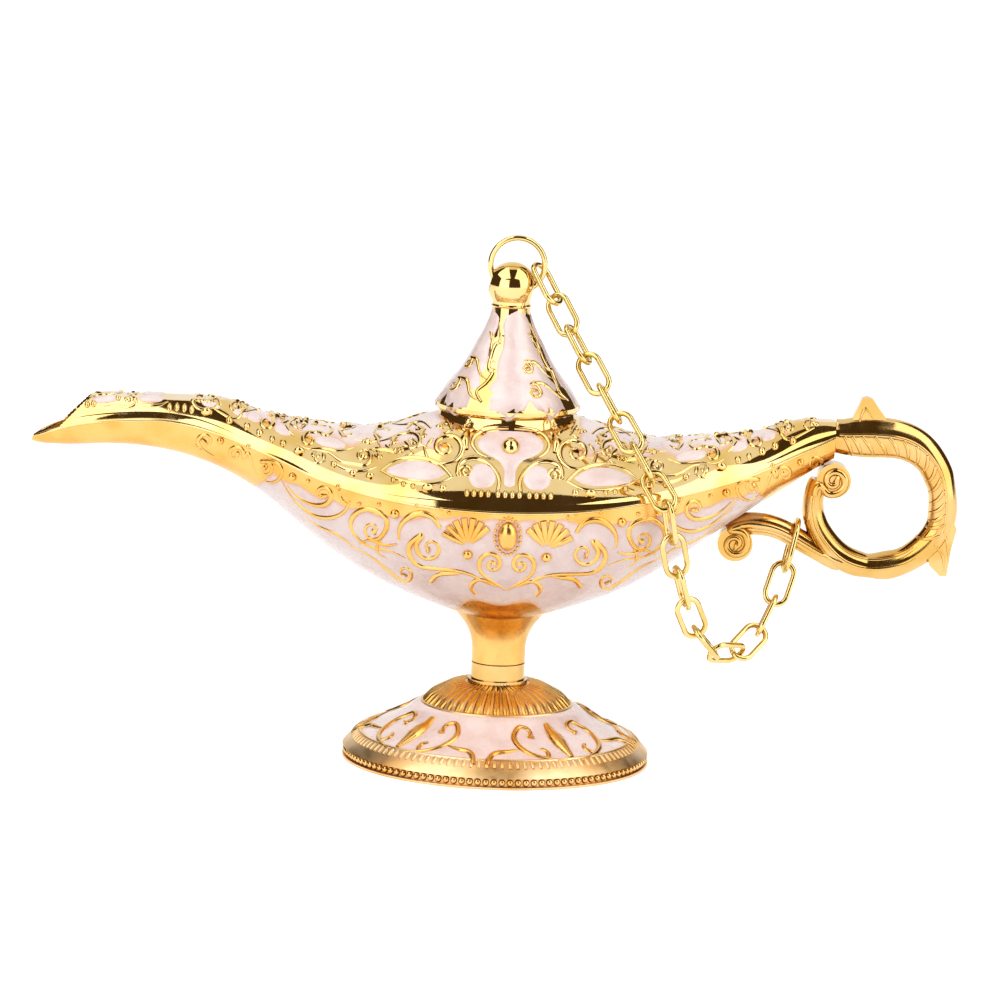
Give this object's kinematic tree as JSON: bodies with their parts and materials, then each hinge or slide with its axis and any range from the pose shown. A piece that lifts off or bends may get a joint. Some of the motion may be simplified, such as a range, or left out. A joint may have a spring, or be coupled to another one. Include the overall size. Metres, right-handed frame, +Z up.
{
  "type": "genie oil lamp",
  "caption": "Boat-shaped ornamental oil lamp with an open spout, a lift-off domed lid held by a fine chain, a scroll handle and a round pedestal foot.",
  "frame": {"origin": "centre of the foot's resting face", "axes": "+X along the body from the spout to the handle, -Y towards the viewer, +Z up through lid and ring"},
  "size_m": [0.2, 0.0664, 0.1145],
  "materials": {
    "polished_gold": "polished",
    "satin_gold": "satin",
    "chain_gold": "polished",
    "pink_enamel": "gloss",
    "screw_steel": "zinc plated"
  },
  "bodies": {
    "body": {"upper_shell": "pink_enamel", "lower_shell": "pink_enamel", "handle": "satin_gold", "ferrule": "satin_gold", "foot": "pink_enamel", "foot_screw": "screw_steel", "foot_washer": "screw_steel"},
    "lid": {"lid": "polished_gold"},
    "ring": {"finial_ring": "chain_gold"},
    "link_18": {"chain_link_18": "chain_gold"},
    "link_17": {"chain_link_17": "chain_gold"},
    "link_16": {"chain_link_16": "chain_gold"},
    "link_15": {"chain_link_15": "chain_gold"},
    "link_14": {"chain_link_14": "chain_gold"},
    "link_13": {"chain_link_13": "chain_gold"},
    "link_12": {"chain_link_12": "chain_gold"},
    "link_11": {"chain_link_11": "chain_gold"},
    "link_10": {"chain_link_10": "chain_gold"},
    "link_09": {"chain_link_09": "chain_gold"},
    "link_08": {"chain_link_08": "chain_gold"},
    "link_07": {"chain_link_07": "chain_gold"},
    "link_06": {"chain_link_06": "chain_gold"},
    "link_05": {"chain_link_05": "chain_gold"},
    "link_04": {"chain_link_04": "chain_gold"},
    "link_03": {"chain_link_03": "chain_gold"},
    "link_02": {"chain_link_02": "chain_gold"},
    "link_01": {"chain_link_01": "chain_gold"}
  },
  "joints": [
    {"name": "lid_lift", "type": "slide", "parent": "body", "child": "lid", "axis": [0, 0, 1], "range_m": [0, 0.024]},
    {"name": "ring_swing", "type": "hinge", "parent": "lid", "child": "ring", "pos_m": [0, 0, 0.1035], "axis": [0.9724, 0, -0.2334], "range_deg": [-2, 6]},
    {"name": "link_18_turn", "type": "hinge", "parent": "body", "child": "link_18", "pos_m": [0.06335, 0, 0.05399], "axis": [-0.8702, 0.4065, 0.2784], "range_deg": [0, 2.9]},
    {"name": "link_17_turn", "type": "hinge", "parent": "link_18", "child": "link_17", "pos_m": [0.06119, -0.00215, 0.04478], "axis": [-0.8741, 0.4738, 0.1071], "range_deg": [0, 33.1]},
    {"name": "link_16_turn", "type": "hinge", "parent": "link_17", "child": "link_16", "pos_m": [0.05899, -0.00433, 0.03784], "axis": [-0.7598, 0.6501, 0.0042], "range_deg": [0, 16.3]},
    {"name": "link_15_turn", "type": "hinge", "parent": "link_16", "child": "link_15", "pos_m": [0.05592, -0.00738, 0.03159], "axis": [-0.301, 0.7288, -0.615], "range_deg": [0, 0.75]},
    {"name": "link_14_turn", "type": "hinge", "parent": "link_15", "child": "link_14", "pos_m": [0.05143, -0.01184, 0.02739], "axis": [0.6996, -0.7122, -0.058], "range_deg": [0, 19.45]},
    {"name": "link_13_turn", "type": "hinge", "parent": "link_14", "child": "link_13", "pos_m": [0.04608, -0.01716, 0.02833], "axis": [0.7277, -0.6856, 0.0208], "range_deg": [0, 20.85]},
    {"name": "link_12_turn", "type": "hinge", "parent": "link_13", "child": "link_12", "pos_m": [0.04209, -0.02111, 0.03345], "axis": [0.8962, -0.3647, 0.2526], "range_deg": [0, 12.3]},
    {"name": "link_11_turn", "type": "hinge", "parent": "link_12", "child": "link_11", "pos_m": [0.03936, -0.02383, 0.04], "axis": [-0.8736, -0.2688, -0.4057], "range_deg": [0, 26.35]},
    {"name": "link_10_turn", "type": "hinge", "parent": "link_11", "child": "link_10", "pos_m": [0.03734, -0.02583, 0.04705], "axis": [0.8003, 0.2265, -0.5552], "range_deg": [0, 6.2]},
    {"name": "link_09_turn", "type": "hinge", "parent": "link_10", "child": "link_09", "pos_m": [0.03577, -0.0274, 0.05432], "axis": [-0.1784, 0.1533, -0.9719], "range_deg": [0, 4.75]},
    {"name": "link_08_turn", "type": "hinge", "parent": "link_09", "child": "link_08", "pos_m": [0.03448, -0.02868, 0.0617], "axis": [0.8129, 0.5711, 0.114], "range_deg": [0, 37]},
    {"name": "link_07_turn", "type": "hinge", "parent": "link_08", "child": "link_07", "pos_m": [0.03075, -0.02494, 0.06717], "axis": [-0.9094, -0.4122, -0.0552], "range_deg": [0, 3.6]},
    {"name": "link_06_turn", "type": "hinge", "parent": "link_07", "child": "link_06", "pos_m": [0.02708, -0.02125, 0.0727], "axis": [-0.7674, -0.6023, 0.22], "range_deg": [0, 1.35]},
    {"name": "link_05_turn", "type": "hinge", "parent": "link_06", "child": "link_05", "pos_m": [0.02344, -0.0176, 0.07829], "axis": [-0.3961, -0.7105, 0.5816], "range_deg": [0, 0.65]},
    {"name": "link_04_turn", "type": "hinge", "parent": "link_05", "child": "link_04", "pos_m": [0.01985, -0.014, 0.08394], "axis": [-0.2512, -0.6927, 0.6761], "range_deg": [0, 0.5]},
    {"name": "link_03_turn", "type": "hinge", "parent": "link_04", "child": "link_03", "pos_m": [0.01631, -0.01043, 0.08964], "axis": [-0.4515, -0.7048, 0.5472], "range_deg": [0, 0.5]},
    {"name": "link_02_turn", "type": "hinge", "parent": "link_03", "child": "link_02", "pos_m": [0.0128, -0.00692, 0.09539], "axis": [-0.5988, -0.6969, 0.3946], "range_deg": [0, 0.55]},
    {"name": "link_01_turn", "type": "hinge", "parent": "link_02", "child": "link_01", "pos_m": [0.00934, -0.00344, 0.10119], "axis": [-0.6047, -0.7118, 0.3575], "range_deg": [0, 0.65]}
  ],
  "couplings": [
    {"joint": "link_18_turn", "follows": "lid_lift", "rad_per_m": 2.0661},
    {"joint": "link_17_turn", "follows": "lid_lift", "rad_per_m": 24.063},
    {"joint": "link_16_turn", "follows": "lid_lift", "rad_per_m": 11.826},
    {"joint": "link_15_turn", "follows": "lid_lift", "rad_per_m": 0.5305},
    {"joint": "link_14_turn", "follows": "lid_lift", "rad_per_m": 14.107},
    {"joint": "link_13_turn", "follows": "lid_lift", "rad_per_m": 15.148},
    {"joint": "link_12_turn", "follows": "lid_lift", "rad_per_m": 8.9323},
    {"joint": "link_11_turn", "follows": "lid_lift", "rad_per_m": 19.13},
    {"joint": "link_10_turn", "follows": "lid_lift", "rad_per_m": 4.4707},
    {"joint": "link_09_turn", "follows": "lid_lift", "rad_per_m": 3.4306},
    {"joint": "link_08_turn", "follows": "lid_lift", "rad_per_m": 26.866},
    {"joint": "link_07_turn", "follows": "lid_lift", "rad_per_m": 2.5775},
    {"joint": "link_06_turn", "follows": "lid_lift", "rad_per_m": 0.9685},
    {"joint": "link_05_turn", "follows": "lid_lift", "rad_per_m": 0.46464},
    {"joint": "link_04_turn", "follows": "lid_lift", "rad_per_m": 0.34313},
    {"joint": "link_03_turn", "follows": "lid_lift", "rad_per_m": 0.3307},
    {"joint": "link_02_turn", "follows": "lid_lift", "rad_per_m": 0.38413},
    {"joint": "link_01_turn", "follows": "lid_lift", "rad_per_m": 0.43719}
  ]
}
